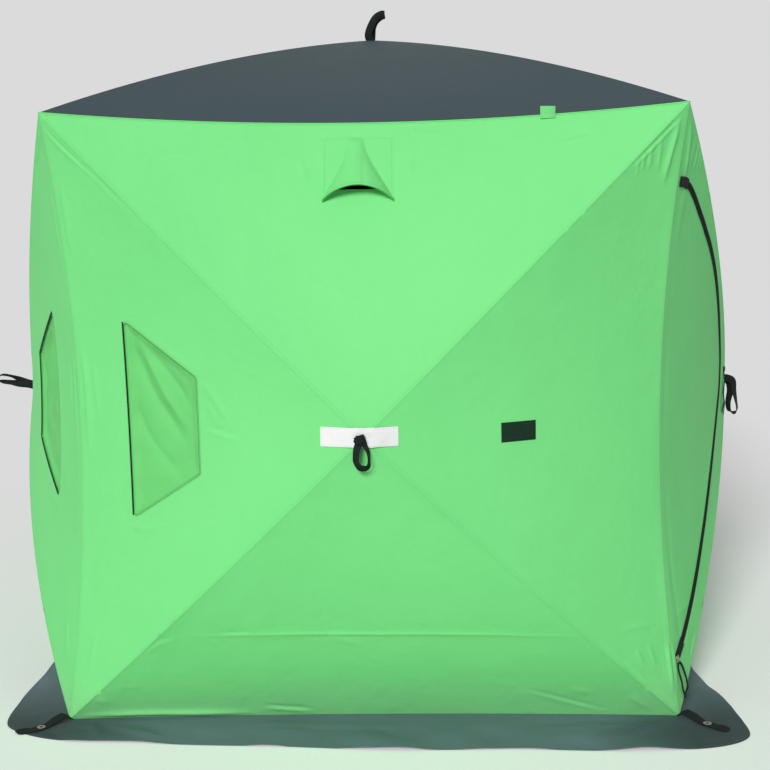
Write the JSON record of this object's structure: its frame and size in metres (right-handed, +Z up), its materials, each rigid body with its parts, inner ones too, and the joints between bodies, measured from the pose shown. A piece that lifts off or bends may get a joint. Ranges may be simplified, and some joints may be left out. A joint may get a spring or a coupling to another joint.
{
  "type": "pop-up ice fishing shelter",
  "caption": "Free-standing square fabric shelter for ice fishing with bowed rods and hubs, a zipped side door, windows, wall vents, a ground skirt and pull straps.",
  "frame": {"origin": "on the ground at the middle of the square footprint", "axes": "+Z up; the front wall faces -Y; +X to the right as seen from the front, where the door wall is"},
  "size_m": [2.5996, 2.4402, 2.131],
  "materials": {
    "wall_fabric": "matt coated weave",
    "door_fabric": "matt coated weave",
    "window_fabric": "matt coated weave",
    "hood_fabric": "matt coated weave",
    "roof_fabric": "matt coated weave",
    "skirt_fabric": "matt coated weave",
    "zip_tape": "matt",
    "black_webbing": "matt",
    "reflective_webbing": "satin",
    "hook_and_loop": "matt",
    "tab_webbing": "matt",
    "rod": "satin glass fibre",
    "hub": "satin",
    "corner_fitting": "satin",
    "grommet": "satin"
  },
  "bodies": {
    "shelter": {"back_pull_strap": "black_webbing", "back_reflective_strip": "reflective_webbing", "back_vent_hood": "hood_fabric", "back_wall_bottom_panel": "wall_fabric", "back_wall_hub": "hub", "back_wall_left_panel": "wall_fabric", "back_wall_right_panel": "wall_fabric", "back_wall_rods": "rod", "back_wall_top_panel": "wall_fabric", "back_wall_window": "window_fabric", "corner_tie_straps": "black_webbing", "door_tie_strap": "black_webbing", "door_zip_pull": "black_webbing", "doorway_zip_tape": "zip_tape", "front_hook_patch": "hook_and_loop", "front_pull_strap": "black_webbing", "front_reflective_strip": "reflective_webbing", "front_vent_hood": "hood_fabric", "front_wall_bottom_panel": "wall_fabric", "front_wall_hub": "hub", "front_wall_left_panel": "wall_fabric", "front_wall_right_panel": "wall_fabric", "front_wall_rods": "rod", "front_wall_top_panel": "wall_fabric", "front_wall_window": "window_fabric", "left_pull_strap": "black_webbing", "left_wall_back_panel": "wall_fabric", "left_wall_bottom_panel": "wall_fabric", "left_wall_front_panel": "wall_fabric", "left_wall_hub": "hub", "left_wall_rods": "rod", "left_wall_top_panel": "wall_fabric", "left_wall_window": "window_fabric", "lower_corner_fittings": "corner_fitting", "right_pull_strap": "black_webbing", "right_wall_back_panel": "wall_fabric", "right_wall_bottom_panel": "wall_fabric", "right_wall_front_panel": "wall_fabric", "right_wall_hub": "hub", "right_wall_rods": "rod", "right_wall_top_panel": "wall_fabric", "right_wall_window": "window_fabric", "roof_back_panel": "roof_fabric", "roof_edge_tab": "tab_webbing", "roof_front_panel": "roof_fabric", "roof_hub": "hub", "roof_left_panel": "roof_fabric", "roof_pull_strap": "black_webbing", "roof_right_panel": "roof_fabric", "roof_rods": "rod", "skirt_back_flap": "skirt_fabric", "skirt_front_flap": "skirt_fabric", "skirt_grommets": "grommet", "skirt_left_flap": "skirt_fabric", "skirt_right_flap": "skirt_fabric", "upper_corner_fittings": "corner_fitting"},
    "door": {"door_panel": "door_fabric", "door_zip_tape": "zip_tape"}
  },
  "joints": [
    {"name": "door_hinge", "type": "hinge", "parent": "shelter", "child": "door", "pos_m": [0.91941, -0.7902, 0.27435], "axis": [0.0015, 0, -1], "range_deg": [0, 100]}
  ]
}
